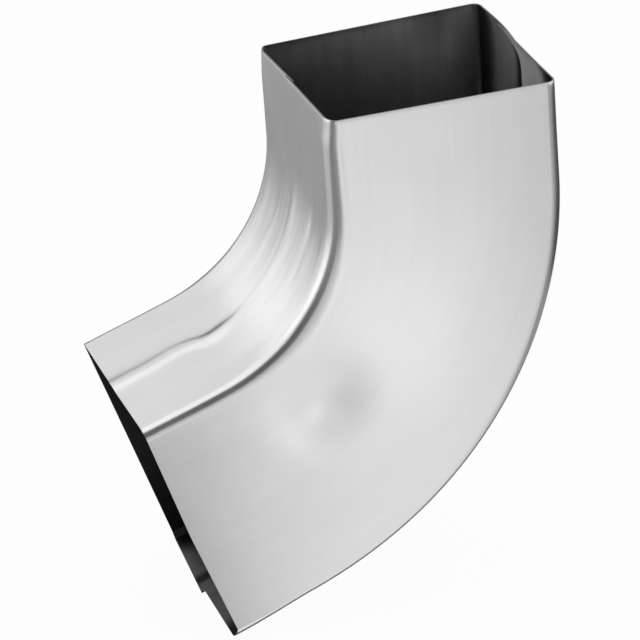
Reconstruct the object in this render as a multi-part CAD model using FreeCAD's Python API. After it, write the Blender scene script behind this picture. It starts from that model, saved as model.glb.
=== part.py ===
"""Square downspout elbow pressed from galvanised sheet as two half shells.

Millimetres, +Z up. The origin is the centre of the inlet mouth, +Z points out of
the inlet, +X points from the throat (inside of the bend) to the heel (outside),
and the front and back cheeks face -Y and +Y.
"""

import math
import os

import FreeCAD
import Part

# Section: the elbow widens in the plane of the bend from the inlet to the outlet
INLET_WIDTH = 100.0
OUTLET_WIDTH = 107.0
SECTION_DEPTH = 100.0
SHEET = 0.7
FOLD_RADIUS = 3.3

# Path of the bend
TURN_DEGREES = 72.0
THROAT_RADIUS = 73.0
INLET_LEG = 39.0
OUTLET_LEG = 40.0

# Lap of the two halves, half of it each side of the middle of the throat and of the heel
LAP = 5.0
LAP_GAP = 0.1

# Uneven outlet ends of the flanges at their free edges, as pressed
THROAT_DRAW_BACK = 1.2
HEEL_RUN_OUT = 1.6

# How far blanks are made too long before their ends are trimmed
TRIM_ALLOWANCE = 8.0

LAP_SHIFT = SHEET + LAP_GAP
TURN = math.radians(TURN_DEGREES)
AXIS_X = -(THROAT_RADIUS + (INLET_WIDTH + LAP_SHIFT) / 2)
AXIS_Z = -INLET_LEG
BEND_AXIS = FreeCAD.Vector(AXIS_X, 0, AXIS_Z)
HEEL_RADIUS = THROAT_RADIUS + (INLET_WIDTH + OUTLET_WIDTH) / 2
Y_AXIS = FreeCAD.Vector(0, 1, 0)


def bend_point(along_x, along_z):
    """A point of the y = 0 plane counted from the bend axis."""
    return BEND_AXIS + FreeCAD.Vector(along_x, 0, along_z)


def wall_line(inlet_u, outlet_u, radius, overrun):
    """Straight, arc, straight: one wall line from past the inlet to past the outlet.

    inlet_u and outlet_u are its distances from the bend axis in the two legs.
    """
    centre_x = inlet_u - radius
    centre_z = (centre_x * math.cos(TURN) + radius - outlet_u) / math.sin(TURN)

    def arc_point(angle):
        return bend_point(centre_x + radius * math.cos(angle), centre_z - radius * math.sin(angle))

    outlet_reach = OUTLET_LEG + overrun
    inlet_end = bend_point(inlet_u, INLET_LEG + overrun)
    outlet_end = bend_point(
        outlet_u * math.cos(TURN) - outlet_reach * math.sin(TURN),
        -outlet_u * math.sin(TURN) - outlet_reach * math.cos(TURN),
    )
    inlet_leg = Part.makeLine(inlet_end, arc_point(0))
    bend = Part.Arc(arc_point(0), arc_point(TURN / 2), arc_point(TURN)).toShape()
    outlet_leg = Part.makeLine(arc_point(TURN), outlet_end)
    return [inlet_leg, bend, outlet_leg], inlet_end, outlet_end


def duct_block(inset, shift, y_cheek, y_edge, overrun, fold_radius):
    """Solid between the throat and heel lines, its two cheek edges rounded."""
    throat_u = THROAT_RADIUS + shift + inset
    throat, throat_in, throat_out = wall_line(throat_u, throat_u, throat_u, overrun)
    heel, heel_in, heel_out = wall_line(
        THROAT_RADIUS + INLET_WIDTH + shift - inset,
        THROAT_RADIUS + OUTLET_WIDTH + shift - inset,
        HEEL_RADIUS + shift - inset,
        overrun,
    )
    ends = [Part.makeLine(heel_out, throat_out), Part.makeLine(throat_in, heel_in)]
    outline = Part.Wire(Part.__sortEdges__(throat + heel + ends))
    face = Part.Face(outline)
    face.translate(FreeCAD.Vector(0, y_cheek, 0))
    block = face.extrude(FreeCAD.Vector(0, y_edge - y_cheek, 0))

    end_lines = [throat_in, heel_in, throat_out, heel_out]
    folds = []
    for edge in block.Edges:
        on_cheek = all(abs(vertex.Point.y - y_cheek) < 1e-6 for vertex in edge.Vertexes)
        across_end = all(
            min(vertex.Point.sub(FreeCAD.Vector(p.x, y_cheek, p.z)).Length for p in end_lines) < 1e-6
            for vertex in edge.Vertexes
        )
        if on_cheek and not across_end:
            folds.append(edge)
    return block.makeFillet(fold_radius, folds)


def end_trimmer(outward, x_from, x_to, y_cheek, y_edge, step):
    """Block that trims one end; step lengthens the end at the flange's free edge."""
    rim = 0.0 if outward > 0 else AXIS_Z - OUTLET_LEG
    beyond = rim + outward * 4 * TRIM_ALLOWANCE
    side = math.copysign(1.0, y_edge - y_cheek)
    y_outer = y_cheek - side * TRIM_ALLOWANCE
    y_fold = y_cheek + side * (FOLD_RADIUS + SHEET)
    y_past = y_edge + side * TRIM_ALLOWANCE
    slope = step / (y_edge - y_fold)
    corners = [
        FreeCAD.Vector(x_from, y_outer, beyond),
        FreeCAD.Vector(x_from, y_outer, rim),
        FreeCAD.Vector(x_from, y_fold, rim),
        FreeCAD.Vector(x_from, y_past, rim + outward * slope * (y_past - y_fold)),
        FreeCAD.Vector(x_from, y_past, beyond),
    ]
    face = Part.Face(Part.makePolygon(corners + corners[:1]))
    block = face.extrude(FreeCAD.Vector(x_to - x_from, 0, 0))
    if outward < 0:
        block.rotate(BEND_AXIS, Y_AXIS, TURN_DEGREES)
    return block


def half_shell(shift, side, flange_reach, outlet_steps):
    """One pressed half: a flat cheek with a throat flange and a heel flange.

    side is -1 for the front half and +1 for the back one, flange_reach is the y of
    the flanges' free edges, and the steps are (throat, heel) changes of length there.
    """
    y_cheek = side * SECTION_DEPTH / 2
    outside = duct_block(0, shift, y_cheek, flange_reach, TRIM_ALLOWANCE, FOLD_RADIUS + SHEET)
    inside = duct_block(
        SHEET,
        shift,
        y_cheek - side * SHEET,
        flange_reach - side * TRIM_ALLOWANCE,
        2 * TRIM_ALLOWANCE,
        FOLD_RADIUS,
    )
    shell = outside.cut(inside)

    x_far = AXIS_X + THROAT_RADIUS - TRIM_ALLOWANCE
    x_middle = AXIS_X + THROAT_RADIUS + INLET_WIDTH / 2
    x_near = AXIS_X + THROAT_RADIUS + OUTLET_WIDTH + INLET_WIDTH
    throat_step, heel_step = outlet_steps
    shell = shell.cut(end_trimmer(1, x_far, x_near, y_cheek, flange_reach, 0.0))
    shell = shell.cut(end_trimmer(-1, x_far, x_middle, y_cheek, flange_reach, throat_step))
    shell = shell.cut(end_trimmer(-1, x_middle, x_near, y_cheek, flange_reach, heel_step))
    return shell.removeSplitter().Solids[0]


# Front half: outside the back half at the throat, inside it at the heel
front_half_shell = half_shell(
    shift=0.0,
    side=-1,
    flange_reach=LAP / 2,
    outlet_steps=(-THROAT_DRAW_BACK, 0.0),
)

# Back half: its mirror image set over by one sheet, inside at the throat and outside at the heel
back_half_shell = half_shell(
    shift=LAP_SHIFT,
    side=1,
    flange_reach=-LAP / 2,
    outlet_steps=(-THROAT_DRAW_BACK, HEEL_RUN_OUT),
)

os.makedirs("parts", exist_ok=True)
front_half_shell.exportStep("parts/front_half_shell.step")
back_half_shell.exportStep("parts/back_half_shell.step")
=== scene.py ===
import math
from typing import NamedTuple

import bpy
import numpy as np
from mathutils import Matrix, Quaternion, Vector


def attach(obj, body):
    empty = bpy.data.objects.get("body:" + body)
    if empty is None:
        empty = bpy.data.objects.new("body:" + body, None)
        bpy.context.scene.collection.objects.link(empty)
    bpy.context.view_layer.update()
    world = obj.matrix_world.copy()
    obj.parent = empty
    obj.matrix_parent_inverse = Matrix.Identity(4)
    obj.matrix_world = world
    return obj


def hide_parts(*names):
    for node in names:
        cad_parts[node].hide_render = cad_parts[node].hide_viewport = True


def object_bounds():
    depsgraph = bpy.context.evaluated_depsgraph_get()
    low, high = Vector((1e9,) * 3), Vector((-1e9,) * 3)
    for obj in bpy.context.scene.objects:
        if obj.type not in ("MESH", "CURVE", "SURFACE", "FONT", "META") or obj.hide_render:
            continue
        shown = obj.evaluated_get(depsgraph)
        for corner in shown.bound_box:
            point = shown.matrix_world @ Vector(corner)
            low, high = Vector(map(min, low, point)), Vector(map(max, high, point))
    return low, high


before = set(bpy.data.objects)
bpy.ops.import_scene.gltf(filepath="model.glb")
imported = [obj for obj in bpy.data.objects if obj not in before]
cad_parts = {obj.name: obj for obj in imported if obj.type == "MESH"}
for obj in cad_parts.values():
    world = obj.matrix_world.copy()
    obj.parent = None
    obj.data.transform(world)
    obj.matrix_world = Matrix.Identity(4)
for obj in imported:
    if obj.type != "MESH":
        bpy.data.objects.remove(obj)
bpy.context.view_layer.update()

# Front half shell
# The near half of the elbow, pressed from one blank of galvanised steel sheet: a flat cheek
# with a throat flange and a heel flange folded back from it. At the throat its flange lies
# outside the back half's flange, at the heel inside it; spots or solder out of sight hold the lap.
SHEET = 0.0007
SECTION_DEPTH = 0.100
INLET_WIDTH = 0.100
OUTLET_WIDTH = 0.107
THROAT_RADIUS = 0.073
HEEL_RADIUS = THROAT_RADIUS + (INLET_WIDTH + OUTLET_WIDTH) / 2
TURN = math.radians(72)
INLET_LEG = 0.039
OUTLET_LEG = 0.040
LAP_GAP = 0.0001
LAP_SHIFT = SHEET + LAP_GAP
BEND_AXIS = np.array([-(THROAT_RADIUS + (INLET_WIDTH + LAP_SHIFT) / 2), -INLET_LEG])
OUTLET_WAY = np.array([-math.sin(TURN), -math.cos(TURN)])

# Stations along the path stand in one column and crowd towards the rims: the share of the way back
# to the inlet rim, the angle turned, the share of the way to the outlet rim, the run along the throat
INLET_STATIONS, BEND_STATIONS, OUTLET_STATIONS = 34, 110, 34
STATIONS = INLET_STATIONS + BEND_STATIONS + OUTLET_STATIONS
CROWDING = 1.5
inlet_share = np.zeros((STATIONS, 1))
inlet_share[:INLET_STATIONS, 0] = 1 - np.linspace(0, 1, INLET_STATIONS) ** CROWDING
turned = np.full((STATIONS, 1), TURN)
turned[:INLET_STATIONS] = 0
turned[INLET_STATIONS:-OUTLET_STATIONS, 0] = np.linspace(0, TURN, BEND_STATIONS + 1)[1:]
outlet_share = np.zeros((STATIONS, 1))
outlet_share[-OUTLET_STATIONS:, 0] = 1 - np.linspace(1, 0, OUTLET_STATIONS + 1)[1:] ** CROWDING
run = INLET_LEG * (1 - inlet_share) + THROAT_RADIUS * turned + OUTLET_LEG * outlet_share
run_left = run[-1] - run


def wall_line(inlet_u, outlet_u, radius, inlet_step, outlet_step):
    """Points in the XZ plane along one wall line, by station and by column of the sheet.

    inlet_u and outlet_u are its distances from the bend axis in the two legs, and the steps
    lengthen it at its two ends.
    """
    centre_x = inlet_u - radius
    centre_z = (centre_x * math.cos(TURN) + radius - outlet_u) / math.sin(TURN)
    inlet_length = INLET_LEG - centre_z + inlet_step
    outlet_length = OUTLET_LEG + centre_x * math.sin(TURN) + centre_z * math.cos(TURN) + outlet_step
    to_inlet = inlet_share * inlet_length
    to_outlet = outlet_share * outlet_length
    x = centre_x + radius * np.cos(turned) + to_outlet * OUTLET_WAY[0]
    z = centre_z - radius * np.sin(turned) + to_outlet * OUTLET_WAY[1] + to_inlet
    return BEND_AXIS + np.stack([x, z], axis=2)


def smooth_step(low, high, value):
    """From 0 at low to 1 at high, eased at both ends; low may be the greater."""
    t = np.clip((value - low) / (high - low), 0, 1)
    return t * t * (3 - 2 * t)


def bell(value, centre, spread):
    """A bell curve that is 1 at its centre."""
    return np.exp(-0.5 * ((value - centre) / spread) ** 2)


SMOOTHING = 6
MILLIMETRES_PER_METRE = 1000


def drawn_along(places):
    """A smooth line by station, in metres, through given (run, value) places in millimetres."""
    runs, values = np.array(places).T / MILLIMETRES_PER_METRE
    line = np.pad(np.interp(run[:, 0], runs, values), SMOOTHING, mode="edge")
    window = np.hanning(2 * SMOOTHING + 3)[1:-1]
    return np.convolve(line, window / window.sum(), mode="valid")[:, None]


class RimSteps(NamedTuple):
    """How far a rim runs out past its mouth, at six places across the blank.

    heel_fold is where the cheek meets the heel's fold, heel_start where the heel flange does.
    """

    throat_edge: float = 0.0
    throat_fold: float = 0.0
    cheek_middle: float = 0.0
    heel_fold: float = 0.0
    heel_start: float = 0.0
    heel_edge: float = 0.0


# The heel springs out a little at the outlet
HEEL_SPRING = 0.0025
HEEL_SPRING_FADE = 0.055


class HalfShell:
    """The sheet of one half as a grid: stations along the path, columns across the blank.

    Each fold is (reach along the flange, depth along the cheek); throat_edge_y and heel_edge_y
    are the free edges of the flanges.
    """

    THROAT_COLUMNS, HEEL_COLUMNS, FOLD_COLUMNS, CHEEK_COLUMNS = 100, 40, 12, 72
    SHARP_ANGLE = math.radians(40)

    def __init__(
        self, side, shift, throat_fold, heel_fold, throat_edge_y, heel_edge_y, inlet_steps, outlet_steps
    ):
        self.side = side
        to_fold = np.linspace(0, 1, self.THROAT_COLUMNS)
        to_edge = np.linspace(0, 1, self.HEEL_COLUMNS)
        fold = np.linspace(0, math.pi / 2, self.FOLD_COLUMNS + 2)[1:-1]
        unfold = fold[::-1]
        cheek = np.linspace(0, 1, self.CHEEK_COLUMNS)

        def blank(throat_flange, throat_bend, on_cheek, heel_bend, heel_flange):
            """Values over the five stretches of the blank, repeated for every station."""
            stretches = (to_fold, fold, cheek, fold, to_edge)
            values = (throat_flange, throat_bend, on_cheek, heel_bend, heel_flange)
            return np.concatenate([
                np.broadcast_to(value, (STATIONS, len(stretch)))
                for stretch, value in zip(stretches, values)
            ], axis=1)

        def rim(steps):
            across_cheek = (steps.throat_fold, steps.cheek_middle, steps.heel_fold)
            return blank(
                steps.throat_edge + (steps.throat_fold - steps.throat_edge) * to_fold,
                steps.throat_fold,
                np.interp(cheek, (0, 0.5, 1), across_cheek),
                np.linspace(steps.heel_fold, steps.heel_start, self.FOLD_COLUMNS),
                steps.heel_start + (steps.heel_edge - steps.heel_start) * to_edge,
            )

        # Share of the way from the throat line to the heel line, and the inset of the folds
        throat_reach, throat_depth = throat_fold
        heel_reach, heel_depth = heel_fold
        self.share = blank(0, 0, cheek, 1, 1)
        inset = blank(
            0,
            throat_depth * (1 - np.cos(fold)),
            throat_depth + (heel_depth - throat_depth) * cheek,
            heel_depth * (1 - np.cos(unfold)),
            0,
        )
        cheek_y = side * SECTION_DEPTH / 2
        throat_fold_y = cheek_y - side * throat_reach
        heel_fold_y = cheek_y - side * heel_reach
        self.y = blank(
            throat_edge_y + (throat_fold_y - throat_edge_y) * to_fold,
            throat_fold_y + side * throat_reach * np.sin(fold),
            cheek_y,
            heel_fold_y + side * heel_reach * np.sin(unfold),
            heel_fold_y + (heel_edge_y - heel_fold_y) * to_edge,
        )

        # How far the sheet faces out of the throat, the heel and the cheek
        throat_turn = np.arctan2(throat_depth * np.sin(fold), throat_reach * np.cos(fold))
        heel_turn = np.arctan2(heel_depth * np.sin(unfold), heel_reach * np.cos(unfold))
        self.faces_throat = blank(1, np.cos(throat_turn), 0, 0, 0)
        self.faces_heel = blank(0, 0, 0, np.cos(heel_turn), 1)
        self.faces_cheek = blank(0, np.sin(throat_turn), 1, np.sin(heel_turn), 0)
        self.from_throat_fold = np.clip((throat_fold_y - self.y) * side, 0, None)
        self.to_heel_edge = blank(0, 0, 0, 0, to_edge)

        throat_u = THROAT_RADIUS + shift
        throat = wall_line(throat_u, throat_u, throat_u, rim(inlet_steps), rim(outlet_steps))
        heel = wall_line(
            throat_u + INLET_WIDTH,
            throat_u + OUTLET_WIDTH,
            HEEL_RADIUS + shift,
            rim(inlet_steps),
            rim(outlet_steps),
        )
        to_heel = np.stack([np.cos(turned), -np.sin(turned)], axis=2)
        spring = HEEL_SPRING * smooth_step(HEEL_SPRING_FADE, 0, run_left)
        heel = heel + to_heel * spring[:, :, None]
        insets = to_heel * inset[:, :, None]
        shares = self.share[:, :, None]
        flat = (1 - shares) * (throat + insets) + shares * (heel - insets)
        lean = to_heel * (self.faces_heel - self.faces_throat)[:, :, None]
        self.points = np.stack([flat[:, :, 0], self.y, flat[:, :, 1]], axis=2)
        self.normals = np.stack([lean[:, :, 0], side * self.faces_cheek, lean[:, :, 1]], axis=2)

        # Distances along the path and across the blank, for the rolling lines of the sheet
        middle = self.points[:, self.share.shape[1] // 2]
        row = self.points[STATIONS // 2]
        self.along = np.concatenate([[0], np.cumsum(np.linalg.norm(np.diff(middle, axis=0), axis=1))])
        self.across = np.concatenate([[0], np.cumsum(np.linalg.norm(np.diff(row, axis=0), axis=1))])

    def push(self, amount):
        """Moves the sheet outwards by amount, a grid in metres."""
        self.points += amount[:, :, None] * self.normals

    def mesh(self, name, painted_inside_shading, scale_bloom, seam_painted_shade):
        """Closed mesh of the sheet with its thickness: outer faces, inner faces, cut edges."""
        stations, columns, _ = self.points.shape
        outer = self.points.reshape(-1, 3)
        inner = (self.points - SHEET * self.normals).reshape(-1, 3)
        index = np.arange(stations * columns).reshape(stations, columns)
        under = index + stations * columns

        def strip(a, b):
            return np.stack([a[:-1], a[1:], b[1:], b[:-1]], axis=-1).reshape(-1, 4)

        outer_faces = np.concatenate([strip(index[:, k], index[:, k + 1]) for k in range(columns - 1)])
        inner_faces = (outer_faces + stations * columns)[:, ::-1]
        edges = np.concatenate([
            strip(under[:, 0], index[:, 0]),
            strip(index[:, -1], under[:, -1]),
            strip(index[0], under[0]),
            strip(under[-1], index[-1]),
        ])
        faces = np.concatenate([outer_faces, inner_faces, edges])
        if self.side > 0:
            faces = faces[:, ::-1]
        mesh = bpy.data.meshes.new(name)
        mesh.from_pydata(np.concatenate([outer, inner]).tolist(), [], faces.tolist())
        mesh.polygons.foreach_set("use_smooth", np.ones(len(faces), dtype=bool))
        mesh.set_sharp_from_angle(angle=self.SHARP_ANGLE)
        slots = np.repeat([0, 1, 2], [len(outer_faces), len(inner_faces), len(edges)])
        mesh.polygons.foreach_set("material_index", slots.astype(np.int32))
        # The tones of the inside and beside the throat lap are painted shade and light
        for label, values in (
            ("along", np.repeat(self.along, columns)),
            ("across", np.tile(self.across, stations)),
            ("painted_inside_shading", painted_inside_shading.ravel()),
            ("scale_bloom", scale_bloom.ravel()),
            ("seam_painted_shade", seam_painted_shade.ravel()),
        ):
            layer = mesh.attributes.new(label, "FLOAT", "POINT")
            layer.data.foreach_set("value", np.concatenate([values, values]).astype(np.float32))
        mesh.validate()
        return mesh


# The lap at the throat: its crest wanders across the middle, stands up where it gapes, and falls
# off more gently towards the back near the outlet
SEAM_PLACES = [
    (0, 4.4), (45, 2.6), (60, -0.5), (80, -3.0), (100, -3.0), (112, -4.6), (123, -5.8),
    (129, -4.2), (135, -0.3), (142, -1.0), (152, -2.6), (164, -2.6), (171, -2.9),
]
SEAM_HEIGHTS = [
    (0, 0.1), (45, 0.15), (60, 0.3), (104, 0.35), (113, 0.75), (119, 1.3),
    (126, 1.2), (134, 1.0), (158, 1.2), (171, 1.3),
]
SEAM_BACK_SPREADS = [(0, 2.8), (104, 2.8), (118, 3.6), (130, 4.2), (142, 5.6), (171, 5.6)]
SEAM_SPREAD = 0.0028
SEAM_LIP = 0.0038
seam_y = drawn_along(SEAM_PLACES)
seam_height = drawn_along(SEAM_HEIGHTS)
seam_back_spread = drawn_along(SEAM_BACK_SPREADS)

# Drawing marks of the throat: shallow streaks along the flow at the start of the bend, broad and fine
STREAK_REACH = 0.042
streak_draw = np.random.default_rng(7)


def draw_streaks(count, widths, middles, lengths, height):
    """Streaks as (y, width, middle of the run, length, height), inwards or outwards by chance."""
    return [
        (
            streak_draw.uniform(-STREAK_REACH, STREAK_REACH),
            streak_draw.uniform(*widths),
            streak_draw.uniform(*middles),
            streak_draw.uniform(*lengths),
            streak_draw.uniform(-height, height),
        )
        for _ in range(count)
    ]


streaks = draw_streaks(
    count=26, widths=(0.0015, 0.0040), middles=(0.056, 0.088), lengths=(0.005, 0.014), height=0.00016
)
streaks += draw_streaks(
    count=60, widths=(0.0008, 0.0016), middles=(0.054, 0.092), lengths=(0.003, 0.008), height=0.00007
)

# The throat is crowned in the bend, and a ridge stands along its fold down to the end of the bend
CROWN = 0.0019
CROWN_HALF = 0.042
CROWN_MIDDLE, CROWN_SPREAD = 0.080, 0.028
RIDGE_SPREAD = 0.006
RIDGE_FADE = 0.014
RIDGE_END, RIDGE_GONE = 0.105, 0.145

# The inlet rim curls in, and the cheeks are crimped towards the outlet, least at the folds
RIM_CURL = 0.00025
RIM_CURL_REACH = 0.0008
OUTLET_CRIMP = 0.0005
OUTLET_CRIMP_REACH = 0.042
CRIMP_EASE = 0.8


def work_walls(shell, ridge_height):
    """What pressing left in a half: ridge, lap, streaks, crown, curled inlet rim, crimped outlet."""
    ridge_fade = smooth_step(0, RIDGE_FADE, run) * smooth_step(RIDGE_GONE, RIDGE_END, run)
    ridge = ridge_height * bell(shell.from_throat_fold, 0, RIDGE_SPREAD) * ridge_fade
    seam_spread = np.where(shell.y > seam_y, seam_back_spread, SEAM_SPREAD)
    seam = seam_height * bell(shell.y, seam_y, seam_spread)
    drawn = np.zeros_like(shell.y)
    for place, width, middle, length, height in streaks:
        drawn += height * bell(shell.y, place, width) * bell(run, middle, length)
    arch = np.clip(1 - (shell.y / CROWN_HALF) ** 2, 0, 1)
    crown = CROWN * arch * bell(run, CROWN_MIDDLE, CROWN_SPREAD)
    shell.push(shell.faces_throat * (ridge + seam + drawn + crown))
    towards_rim = np.clip(1 - run_left / OUTLET_CRIMP_REACH, 0, 1) ** 2
    crimp = OUTLET_CRIMP * towards_rim * (1 - CRIMP_EASE * (2 * shell.share - 1) ** 2)
    curl = RIM_CURL * np.exp(-run / RIM_CURL_REACH)
    shell.push(-shell.faces_cheek * crimp - curl)


# At the inlet the heel is pinched in at the front and bowed out before the back fold
HEEL_BOW = 0.0009
HEEL_BOW_MIDDLE, HEEL_BOW_SPREAD = 0.026, 0.014
HEEL_BOW_FADE = 0.055
HEEL_PINCH = 0.0012
HEEL_PINCH_FROM, HEEL_PINCH_FULL = 0.010, -0.050
HEEL_PINCH_FADE = 0.100


def bow_heel(shell):
    """Bends the heel flanges at the inlet, the same way in both halves so that the lap stays shut."""
    bow = bell(shell.y, HEEL_BOW_MIDDLE, HEEL_BOW_SPREAD) * smooth_step(HEEL_BOW_FADE, 0, run)
    pinch = smooth_step(HEEL_PINCH_FROM, HEEL_PINCH_FULL, shell.y) * smooth_step(HEEL_PINCH_FADE, 0, run)
    shell.push(shell.faces_heel * (HEEL_BOW * bow - HEEL_PINCH * pinch))


def dent_cheek(shell, dents):
    """Shallow dents of a cheek: (x, z, depth, radius), inwards where the depth is positive."""
    for x, z, depth, radius in dents:
        away = np.hypot(shell.points[:, :, 0] - x, shell.points[:, :, 2] - z)
        shell.push(-depth * shell.faces_cheek * bell(away, 0, radius))


class Socket:
    """Wraps a node socket so that shader maths reads as Python expressions."""

    def __init__(self, tree, socket=None):
        self.tree = tree
        self.socket = socket

    def node(self, kind, settings=None, out=0, **inputs):
        """A new node: its settings first, then its sockets by name or, as i0 or i1, by place.

        out is the output that is returned, by name or by place.
        """
        made = self.tree.nodes.new(kind)
        for key, value in (settings or {}).items():
            setattr(made, key, value)
        for key, value in inputs.items():
            by_place = key[0] == "i" and key[1:].isdigit()
            slot = made.inputs[int(key[1:]) if by_place else key.replace("_", " ")]
            if isinstance(value, Socket):
                value.feed(slot)
            else:
                slot.default_value = value
        return Socket(self.tree, made.outputs[out])

    def feed(self, slot):
        """Links this socket to an input of another node."""
        self.tree.links.new(self.socket, slot)

    def maths(self, operation, a, b):
        return self.node("ShaderNodeMath", {"operation": operation}, i0=a, i1=b)

    def __add__(self, other):
        return self.maths("ADD", self, other)

    def __radd__(self, other):
        return self.maths("ADD", other, self)

    def __sub__(self, other):
        return self.maths("SUBTRACT", self, other)

    def __rsub__(self, other):
        return self.maths("SUBTRACT", other, self)

    def __mul__(self, other):
        return self.maths("MULTIPLY", self, other)

    def __rmul__(self, other):
        return self.maths("MULTIPLY", other, self)


def new_material(name):
    """A material, its shader, and the wrapper from which its nodes start."""
    material = bpy.data.materials.new(name)
    material.use_nodes = True
    shader = material.node_tree.nodes["Principled BSDF"]
    return material, shader, Socket(material.node_tree)


def sheet_value(start, label):
    """What the mesh says about a place of the sheet under this label."""
    return start.node("ShaderNodeAttribute", {"attribute_name": label}, out="Fac")


NOISE_ROUGHNESS = 0.55


def sheet_noise(start, along, across, detail):
    """Noise laid on the sheet: along and across count its features per metre."""
    place = start.node(
        "ShaderNodeCombineXYZ",
        X=sheet_value(start, "along") * along,
        Y=sheet_value(start, "across") * across,
    )
    return start.node(
        "ShaderNodeTexNoise", Vector=place, Scale=1.0, Detail=detail, Roughness=NOISE_ROUGHNESS
    )


ZINC_TONE, ZINC_CLOUD, ZINC_LINES = 0.725, 0.11, 0.04
ZINC_GREEN, ZINC_BLUE = 1.003, 1.006
ZINC_ROUGHNESS, ZINC_CLOUD_ROUGHNESS = 0.22, 0.08
WAVE_STRENGTH, WAVE_HEIGHT = 0.5, 0.0006
SEAM_SHADE_EVEN = 0.5


def galvanised_face():
    """Bright zinc face: a faint cloudy bloom, rolling lines, the slight waves of thin sheet and a painted
    shade line beside the throat lap.
    """
    material, shader, start = new_material("galvanised_face")
    lines = sheet_noise(start, along=10, across=420, detail=2)
    cloud = sheet_noise(start, along=30, across=30, detail=4)
    waves = sheet_noise(start, along=26, across=26, detail=1)
    # Painted shade beside the throat lap, mottled by the cloud
    seam_shade = sheet_value(start, "seam_painted_shade") * (SEAM_SHADE_EVEN + cloud)
    tone = (ZINC_TONE + ZINC_CLOUD * cloud + ZINC_LINES * lines) * (1 - seam_shade)
    colour = start.node(
        "ShaderNodeCombineColor", Red=tone, Green=tone * ZINC_GREEN, Blue=tone * ZINC_BLUE
    )
    roughness = ZINC_ROUGHNESS + ZINC_CLOUD_ROUGHNESS * cloud
    bump = start.node("ShaderNodeBump", Height=waves, Strength=WAVE_STRENGTH, Distance=WAVE_HEIGHT)
    shader.inputs["Metallic"].default_value = 1.0
    colour.feed(shader.inputs["Base Color"])
    roughness.feed(shader.inputs["Roughness"])
    bump.feed(shader.inputs["Normal"])
    return material


INSIDE_EVEN, INSIDE_CLOUD, INSIDE_RUNS = 0.45, 0.6, 0.5
INSIDE_BLUE = 1.01
INSIDE_ROUGHNESS, INSIDE_CLOUD_ROUGHNESS = 0.36, 0.12
SCALE_COVER = 0.75


def dull_inside():
    """The zinc inside the duct, greyed by damp and dust and by painted shade, with pale scale where water
    washes the heel.
    """
    material, shader, start = new_material("dull_inside")
    cloud = sheet_noise(start, along=40, across=40, detail=5)
    runs = sheet_noise(start, along=18, across=170, detail=3)
    # The mesh's inside tone is painted shade and light; the clouds and runs are the zinc's own greying
    tone = sheet_value(start, "painted_inside_shading") * (INSIDE_EVEN + INSIDE_CLOUD * cloud + INSIDE_RUNS * runs)
    colour = start.node("ShaderNodeCombineColor", Red=tone, Green=tone, Blue=tone * INSIDE_BLUE)
    roughness = INSIDE_ROUGHNESS + INSIDE_CLOUD_ROUGHNESS * cloud
    metallic = 1 - SCALE_COVER * sheet_value(start, "scale_bloom")
    colour.feed(shader.inputs["Base Color"])
    roughness.feed(shader.inputs["Roughness"])
    metallic.feed(shader.inputs["Metallic"])
    return material


EDGE_TONE, EDGE_NICKS = 0.12, 0.12
EDGE_ROUGHNESS = 0.5


def cut_edge():
    """The sheared edge of the sheet, bare dull steel between its two zinc faces."""
    material, shader, start = new_material("cut_edge")
    nicks = sheet_noise(start, along=300, across=300, detail=3)
    tone = EDGE_TONE + EDGE_NICKS * nicks
    colour = start.node("ShaderNodeCombineColor", Red=tone, Green=tone, Blue=tone)
    shader.inputs["Metallic"].default_value = 1.0
    shader.inputs["Roughness"].default_value = EDGE_ROUGHNESS
    colour.feed(shader.inputs["Base Color"])
    return material


sheet_finishes = [galvanised_face(), dull_inside(), cut_edge()]

# The free edge of the front heel flange runs out to the back at the inlet
HEEL_EDGE_PLACES = [
    (0, 30), (0.8, 13), (2, 2), (4, -4), (8, -6), (17, -6), (30, -3), (60, 2.5), (171, 2.5),
]
heel_edge = drawn_along(HEEL_EDGE_PLACES)

# Painted shade inside: the walls are painted darker into the duct and towards the throat, and darkest at
# the outlet
RIM_TONE, DEEP_TONE, DEEP_FROM = 0.51, 0.22, 0.040
THROAT_SIDE, HEEL_SIDE_GAIN = 0.55, 0.9
OUTLET_TONE, OUTLET_HEEL_TONE = 0.06, 0.16
OUTLET_SHADE_FROM, OUTLET_SHADE_FULL = 0.10, 0.16

# Painted shade in the heel's corner and beside its lap, and under the inlet rim of the cheeks, and pale
# scale on the heel flange away from its fold
CORNER_SHADE, CORNER_SHADE_FROM, CORNER_SHADE_FULL = 0.88, 0.34, 0.08
HEEL_LAP_SHADE, HEEL_LAP_SHADE_AWAY, HEEL_LAP_SHADE_SPREAD = 0.9, 0.0046, 0.0030
RIM_SHADE, RIM_SHADE_SHARE, RIM_SHADE_WIDTH, RIM_SHADE_DEPTH = 0.45, 0.82, 0.09, 0.018
BLOOM_FULL = 0.5

# Painted shade darkens the back half beside the lap of the throat, most where the lap gapes
SEAM_SHADE, SEAM_SHADE_AWAY, SEAM_SHADE_SPREAD = 0.65, 0.0014, 0.0020
SEAM_SHADE_FROM, SEAM_SHADE_FULL, SEAM_SHADE_EASED, SEAM_SHADE_EASE = 0.110, 0.121, 0.142, 0.95


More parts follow.
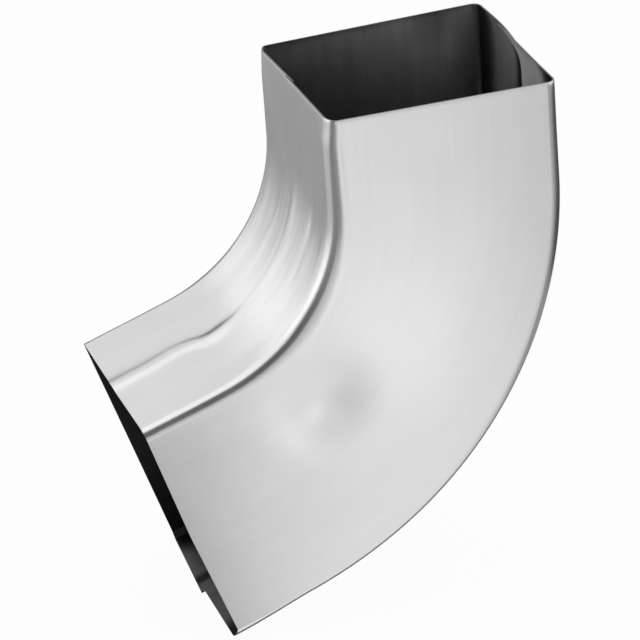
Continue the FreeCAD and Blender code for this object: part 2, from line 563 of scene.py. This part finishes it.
def add_half(name, shell, node, heel_tone, bloom):
    """Adds a half, its inside painted with shade; bloom is how much pale scale its heel flange carries."""
    is_back = shell.side > 0
    # Painted shade: darker into the duct and towards the throat, lighter towards the heel
    towards_rim = smooth_step(DEEP_FROM, 0, run)
    shaded = (DEEP_TONE + (RIM_TONE - DEEP_TONE) * towards_rim) * (THROAT_SIDE + HEEL_SIDE_GAIN * shell.share)
    # Painted shade just under the inlet rim of the cheeks, towards the heel
    rim_shade = bell(shell.share, RIM_SHADE_SHARE, RIM_SHADE_WIDTH) * smooth_step(RIM_SHADE_DEPTH, 0, run)
    shaded = shaded * (1 - RIM_SHADE * rim_shade)
    # Painted shade in the heel's corner and, on the back half, beside the lap inside
    in_corner = shell.faces_heel * smooth_step(CORNER_SHADE_FROM, CORNER_SHADE_FULL, shell.to_heel_edge)
    beside_lap = bell(shell.y, heel_edge + HEEL_LAP_SHADE_AWAY, HEEL_LAP_SHADE_SPREAD)
    in_lap = shell.faces_heel * beside_lap * is_back
    unshaded = (1 - CORNER_SHADE * in_corner) * (1 - HEEL_LAP_SHADE * in_lap)
    # Painted shade, darkest at the outlet; the heel flanges take their own painted tone
    towards_outlet = smooth_step(OUTLET_SHADE_FROM, OUTLET_SHADE_FULL, run)
    inlet_tone = shaded + (heel_tone - shaded) * shell.faces_heel
    outlet_tone = OUTLET_TONE + (OUTLET_HEEL_TONE - OUTLET_TONE) * shell.faces_heel
    painted_inside_shading = unshaded * (inlet_tone + (outlet_tone - inlet_tone) * towards_outlet)
    scale_bloom = bloom * unshaded * smooth_step(0, BLOOM_FULL, shell.to_heel_edge) * (1 - towards_outlet)
    # Painted shade beside the throat lap of the back half, strongest where the lap gapes
    seam_shade_start = smooth_step(SEAM_SHADE_FROM, SEAM_SHADE_FULL, run)
    seam_shade_ease = 1 - SEAM_SHADE_EASE * smooth_step(SEAM_SHADE_FULL, SEAM_SHADE_EASED, run)
    beside_seam = bell(shell.y, seam_y + SEAM_LIP + SEAM_SHADE_AWAY, SEAM_SHADE_SPREAD)
    seam_painted_shade = SEAM_SHADE * seam_shade_start * seam_shade_ease * beside_seam * shell.faces_throat * is_back
    piece = bpy.data.objects.new(name, shell.mesh(name, painted_inside_shading, scale_bloom, seam_painted_shade))
    bpy.context.scene.collection.objects.link(piece)
    for finish in sheet_finishes:
        piece.data.materials.append(finish)
    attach(piece, "root")
    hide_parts(node)


THROAT_FOLD_REACHES = [(0, 7.5), (95, 7.5), (130, 5.0), (171, 5.0)]
THROAT_FOLD_DEPTHS = [(0, 4.8), (55, 6.2), (92, 7.5), (110, 6.4), (130, 5.0), (171, 5.0)]
FRONT_HEEL_FOLD = 0.0048
FRONT_RIDGE = 0.0010
FRONT_DENTS = [(-0.0620, -0.1280, 0.0025, 0.0125), (-0.0570, -0.1215, 0.0011, 0.0095)]
throat_reach = drawn_along(THROAT_FOLD_REACHES)
front = HalfShell(
    side=-1,
    shift=0.0,
    throat_fold=(throat_reach, drawn_along(THROAT_FOLD_DEPTHS)),
    heel_fold=(FRONT_HEEL_FOLD, FRONT_HEEL_FOLD),
    throat_edge_y=seam_y + SEAM_LIP,
    heel_edge_y=heel_edge,
    inlet_steps=RimSteps(),
    outlet_steps=RimSteps(
        throat_edge=-0.0003, throat_fold=-0.0010, heel_fold=-0.0010, heel_start=0.0017, heel_edge=0.0019
    ),
)
work_walls(front, FRONT_RIDGE)
bow_heel(front)
dent_cheek(front, FRONT_DENTS)
# heel_tone is the painted light and shade inside the heel flange, lighter on the front half
add_half("front_half", front, "front_half_shell", heel_tone=0.56, bloom=1.0)

# Back half shell
# The far half, the front one's mirror image set over by one sheet: its throat flange lies
# inside the lap and its heel flange outside, and its inlet rim is cut a little out of square.
LAP = 0.005
BACK_FOLD = 0.0040
BACK_RIDGE = 0.0005
back = HalfShell(
    side=1,
    shift=LAP_SHIFT,
    throat_fold=(throat_reach, BACK_FOLD),
    heel_fold=(BACK_FOLD, BACK_FOLD),
    throat_edge_y=seam_y - SEAM_LIP,
    heel_edge_y=heel_edge - LAP,
    inlet_steps=RimSteps(
        throat_fold=-0.0014, cheek_middle=-0.0002, heel_fold=0.0010, heel_start=0.0010, heel_edge=0.0003
    ),
    outlet_steps=RimSteps(
        throat_edge=-0.0006, throat_fold=-0.0004, heel_fold=0.0005, heel_start=0.0010, heel_edge=0.0035
    ),
)
work_walls(back, BACK_RIDGE)
bow_heel(back)
# heel_tone is the painted light and shade inside the heel flange, darker on the back half
add_half("back_half", back, "back_half_shell", heel_tone=0.42, bloom=0.35)

# Studio floor and white surround
# A pale sweep under the lowest corner of the elbow. Camera and glossy rays see it nearly
# white, as the photograph does, and it still takes the elbow's soft shadow.
FLOOR_REACH = 6.0
FLOOR_DROP = 0.0005
FLOOR_TONE = 0.85
FLOOR_ROUGHNESS = 0.9
FLOOR_WHITE = 0.96
floor_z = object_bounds()[0][2] - FLOOR_DROP
floor_mesh = bpy.data.meshes.new("studio_floor")
floor_mesh.from_pydata(
    [(x * FLOOR_REACH, y * FLOOR_REACH, floor_z) for x, y in ((-1, -1), (1, -1), (1, 1), (-1, 1))],
    [],
    [(0, 1, 2, 3)],
)
studio_floor = bpy.data.objects.new("studio_floor", floor_mesh)
bpy.context.scene.collection.objects.link(studio_floor)


def seen_white(start):
    """1 on the rays that see the studio as white: from the camera, off metal and through glass."""
    ray = "ShaderNodeLightPath"
    camera_ray = start.node(ray, out="Is Camera Ray")
    glossy_ray = start.node(ray, out="Is Glossy Ray")
    transmission_ray = start.node(ray, out="Is Transmission Ray")
    either = start.maths("MAXIMUM", camera_ray, glossy_ray)
    return start.maths("MAXIMUM", either, transmission_ray)


floor_paint, floor_shader, floor_start = new_material("studio_floor")
floor_shader.inputs["Base Color"].default_value = (FLOOR_TONE, FLOOR_TONE, FLOOR_TONE, 1)
floor_shader.inputs["Roughness"].default_value = FLOOR_ROUGHNESS
floor_shader.inputs["Specular IOR Level"].default_value = 0.0
floor_look = floor_start.node(
    "ShaderNodeMixShader",
    i0=seen_white(floor_start) * FLOOR_WHITE,
    i1=Socket(floor_paint.node_tree, floor_shader.outputs[0]),
    i2=floor_start.node("ShaderNodeEmission", Color=(1, 1, 1, 1), Strength=1.0),
)
floor_look.feed(floor_paint.node_tree.nodes["Material Output"].inputs["Surface"])
floor_mesh.materials.append(floor_paint)

WORLD_LIGHT = 0.6
world = bpy.data.worlds.new("studio")
bpy.context.scene.world = world
world.use_nodes = True
world_start = Socket(world.node_tree)
world_grey = WORLD_LIGHT + (1 - WORLD_LIGHT) * seen_white(world_start)
world_colour = world_start.node(
    "ShaderNodeCombineColor", Red=world_grey, Green=world_grey, Blue=world_grey
)
world_colour.feed(world.node_tree.nodes["Background"].inputs["Color"])

# Studio cards and softbox
# White, grey and dark cards lie and stand round the elbow, out of the camera's sight, so that
# the polished sheet has something to mirror; a large softbox hangs above.
CARD_LIFT = 0.0003
low = floor_z + CARD_LIFT
lifted = low + CARD_LIFT
topmost = lifted + CARD_LIFT


def level_edge(x_span, y, z):
    """A card's edge that runs along x, as its two ends."""
    return [(x, y, z) for x in x_span]


def studio_card(name, one_edge, other_edge, tone):
    """A card between two edge lines that only the metal sees.

    tone is a number, or a function of the card's shader and of the place on the card.
    """
    count = len(one_edge)
    faces = [(k, k + 1, count + k + 1, count + k) for k in range(count - 1)]
    card_mesh = bpy.data.meshes.new(name)
    card_mesh.from_pydata(one_edge + other_edge, [], faces)
    card = bpy.data.objects.new(name, card_mesh)
    bpy.context.scene.collection.objects.link(card)
    paint, _, start = new_material(name)
    place = start.node("ShaderNodeTexCoord", out="Object")
    grey = tone(start, place) if callable(tone) else tone
    colour = start.node("ShaderNodeCombineColor", Red=grey, Green=grey, Blue=grey)
    glow = start.node("ShaderNodeEmission", Color=colour, Strength=1.0)
    glow.feed(paint.node_tree.nodes["Material Output"].inputs["Surface"])
    card_mesh.materials.append(paint)
    card.visible_camera = False
    card.visible_diffuse = False
    card.visible_shadow = False


def offset(start, place, middle, way):
    """How far a place lies from the middle along one way."""
    dot = {"operation": "DOT_PRODUCT"}
    along = start.node("ShaderNodeVectorMath", dot, out="Value", i0=place, i1=way)
    return along - sum(m * w for m, w in zip(middle, way))


# A strip of light lies in front of the elbow, brightest in its middle; it widens away from the elbow
STRIP_SPAN = (-0.70, 0.80)
STRIP_FAR_Y, STRIP_NEAR_Y = -1.30, -0.055
STRIP_MIDDLE = (0.060, -0.320, 0.0)
STRIP_WAY = (0.333, -0.943, 0.0)
STRIP_ACROSS = (0.943, 0.333, 0.0)
STRIP_TONE, STRIP_LEAST = 0.88, 0.30
RIGHT_FALL, LEFT_FALL, LEFT_WIDENING = 24.0, 6.5, 7.6
GLOW_TONE, GLOW_LENGTH, GLOW_WIDTH = 0.34, 0.14, 0.060
DULL_PLACE, DULL_TONE, DULL_REACH = (-0.088, -0.235, 0.0), 0.13, 0.085


def light_strip(start, place):
    """Tone of the strip: it falls off to both sides, with one brighter and one duller spot."""
    along = offset(start, place, STRIP_MIDDLE, STRIP_WAY)
    across = offset(start, place, STRIP_MIDDLE, STRIP_ACROSS)
    left = start.maths("MINIMUM", across, 0.0)
    right = start.maths("MAXIMUM", across, 0.0)
    left_fall = LEFT_FALL * start.maths("POWER", math.exp(-LEFT_WIDENING), along)
    strip = STRIP_TONE - RIGHT_FALL * right * right - left_fall * left * left
    from_middle = along * along * GLOW_LENGTH ** -2 + across * across * GLOW_WIDTH ** -2
    glow = start.maths("MAXIMUM", 1 - from_middle, 0.0)
    x_off = offset(start, place, DULL_PLACE, (1, 0, 0))
    y_off = offset(start, place, DULL_PLACE, (0, 1, 0))
    shaded = start.maths("MAXIMUM", 1 - (x_off * x_off + y_off * y_off) * DULL_REACH ** -2, 0.0)
    lit = start.maths("MAXIMUM", strip, STRIP_LEAST)
    return lit + GLOW_TONE * glow * glow - DULL_TONE * shaded * shaded


studio_card(
    "strip_front",
    level_edge(STRIP_SPAN, STRIP_FAR_Y, low),
    level_edge(STRIP_SPAN, STRIP_NEAR_Y, low),
    tone=light_strip,
)


def ramp(middle, way, low_tone, high_tone, length):
    """A card's tone that goes evenly from low to high over a length from the middle along one way."""
    def tone(start, place):
        away = offset(start, place, middle, way) * (1 / length)
        share = start.maths("MINIMUM", start.maths("MAXIMUM", away, 0.0), 1.0)
        return low_tone + (high_tone - low_tone) * share

    return tone


# The floor behind is grey and clears to the left, a paler sheet lies left of the elbow, and dark ones
# lie under it and to its right
SHADE_NEAR_Y, SHADE_FAR_Y = -0.05, 0.08
SHADE_SPAN = (-0.12, 0.27)
studio_card(
    "floor_behind",
    level_edge((-0.16, 0.25), SHADE_FAR_Y, low),
    level_edge((-4.20, 1.20), 5.50, low),
    tone=ramp(middle=(-0.26, 0, 0), way=(-1, 0, 0), low_tone=0.335, high_tone=0.68, length=0.40),
)
studio_card(
    "floor_left",
    [(-0.18, 0.115, lifted), (-0.66, 0.720, lifted)],
    [(-0.235, -0.030, lifted), (-0.975, 0.100, lifted)],
    tone=0.54,
)
studio_card(
    "shade_below",
    level_edge(SHADE_SPAN, SHADE_NEAR_Y, lifted),
    level_edge(SHADE_SPAN, SHADE_FAR_Y, lifted),
    tone=ramp(middle=(0.02, 0, 0), way=(1, 0, 0), low_tone=0.10, high_tone=0.40, length=0.25),
)
studio_card(
    "shade_right",
    [(0.25, SHADE_NEAR_Y, topmost), (0.29, -0.25, topmost), (0.95, -0.30, topmost)],
    [(0.25, SHADE_FAR_Y, topmost), (0.29, 0.70, topmost), (0.95, 0.70, topmost)],
    tone=0.06,
)

# Upright boards: a white one over a dark skirting behind, bright kickers at the left, one in front
BOARD_Y = 0.95
BOARD_SPAN, SKIRTING_SPAN, KICKER_SPAN = (-0.42, 0.50), (-0.28, 0.45), (-1.00, -0.44)
KICKER_X = -0.95
FRONT_BOARD_SPAN, FRONT_BOARD_Y = (-1.20, 0.90), -1.32
studio_card(
    "flat_behind",
    level_edge(BOARD_SPAN, BOARD_Y, 0.18),
    level_edge(BOARD_SPAN, BOARD_Y, 1.05),
    tone=0.85,
)
studio_card(
    "skirting_behind",
    level_edge(SKIRTING_SPAN, BOARD_Y, low),
    level_edge(SKIRTING_SPAN, BOARD_Y, 0.14),
    tone=0.10,
)
studio_card(
    "kicker_back_left",
    level_edge(KICKER_SPAN, BOARD_Y, -0.16),
    level_edge(KICKER_SPAN, BOARD_Y, 0.30),
    tone=ramp(middle=(0, 0, -0.12), way=(0, 0, 1), low_tone=0.75, high_tone=1.18, length=0.32),
)
studio_card(
    "kicker_left",
    [(KICKER_X, 0.05, -0.10), (KICKER_X, 0.60, -0.10)],
    [(KICKER_X, 0.05, 0.75), (KICKER_X, 0.60, 0.75)],
    tone=1.28,
)
studio_card(
    "flat_front",
    level_edge(FRONT_BOARD_SPAN, FRONT_BOARD_Y, low),
    level_edge(FRONT_BOARD_SPAN, FRONT_BOARD_Y, 0.30),
    tone=0.60,
)

# A dark band curves round the left and over the front: the folds mirror it as their dark line
studio_card(
    "flag_band",
    [
        (-0.24, -0.005, topmost),
        (-0.43, 0.02, topmost),
        (-0.72, -0.10, 0.22),
        (-0.66, -0.32, 0.60),
        (-0.31, -0.28, 0.80),
        (-0.10, -0.30, 0.82),
    ],
    [
        (-0.20, -0.19, topmost),
        (-0.34, -0.29, topmost),
        (-0.52, -0.57, 0.06),
        (-0.42, -0.88, 0.22),
        (-0.14, -0.95, 0.18),
        (0.06, -0.98, 0.19),
    ],
    tone=ramp(middle=(0, 0, low), way=(0, 0, 1), low_tone=0.26, high_tone=0.09, length=0.50),
)

# The softbox is a lamp for the light and a card for the metal to mirror
SOFTBOX_X, SOFTBOX_Y, SOFTBOX_Z = -0.30, 0.42, 1.00
SOFTBOX_WIDTH, SOFTBOX_DEPTH = 0.9, 1.2
SOFTBOX_RADIANCE = 1.03
SOFTBOX_SPAN = (SOFTBOX_X - SOFTBOX_WIDTH / 2, SOFTBOX_X + SOFTBOX_WIDTH / 2)
studio_card(
    "softbox_face",
    level_edge(SOFTBOX_SPAN, SOFTBOX_Y - SOFTBOX_DEPTH / 2, SOFTBOX_Z),
    level_edge(SOFTBOX_SPAN, SOFTBOX_Y + SOFTBOX_DEPTH / 2, SOFTBOX_Z),
    tone=1.10,
)
softbox_data = bpy.data.lights.new("softbox", "AREA")
softbox_data.shape = "RECTANGLE"
softbox_data.size = SOFTBOX_WIDTH
softbox_data.size_y = SOFTBOX_DEPTH
softbox_data.energy = SOFTBOX_RADIANCE * math.pi * SOFTBOX_WIDTH * SOFTBOX_DEPTH
softbox = bpy.data.objects.new("softbox", softbox_data)
bpy.context.scene.collection.objects.link(softbox)
softbox.location = (SOFTBOX_X, SOFTBOX_Y, SOFTBOX_Z)
softbox.visible_glossy = False

# Camera
# The photograph's view: from the front left and above, with a long lens and a slight roll.
CAMERA_AZIMUTH = math.radians(16.12)
CAMERA_ELEVATION = math.radians(24.98)
CAMERA_ROLL = math.radians(-4.18)
CAMERA_DISTANCE = 1.5457
CAMERA_AIM = Vector((-0.04512, 0.0, -0.10962))
CAMERA_LENS = 204.26
CAMERA_SENSOR = 36.0
camera_data = bpy.data.cameras.new("camera")
camera_data.lens = CAMERA_LENS
camera_data.sensor_width = CAMERA_SENSOR
camera = bpy.data.objects.new("camera", camera_data)
bpy.context.scene.collection.objects.link(camera)
towards = Vector((
    -math.sin(CAMERA_AZIMUTH) * math.cos(CAMERA_ELEVATION),
    -math.cos(CAMERA_AZIMUTH) * math.cos(CAMERA_ELEVATION),
    math.sin(CAMERA_ELEVATION),
))
camera.location = CAMERA_AIM + CAMERA_DISTANCE * towards
camera.rotation_mode = "QUATERNION"
camera.rotation_quaternion = towards.to_track_quat("Z", "Y") @ Quaternion((0, 0, 1), CAMERA_ROLL)
bpy.context.scene.camera = camera

bpy.context.scene.view_settings.view_transform = "Standard"
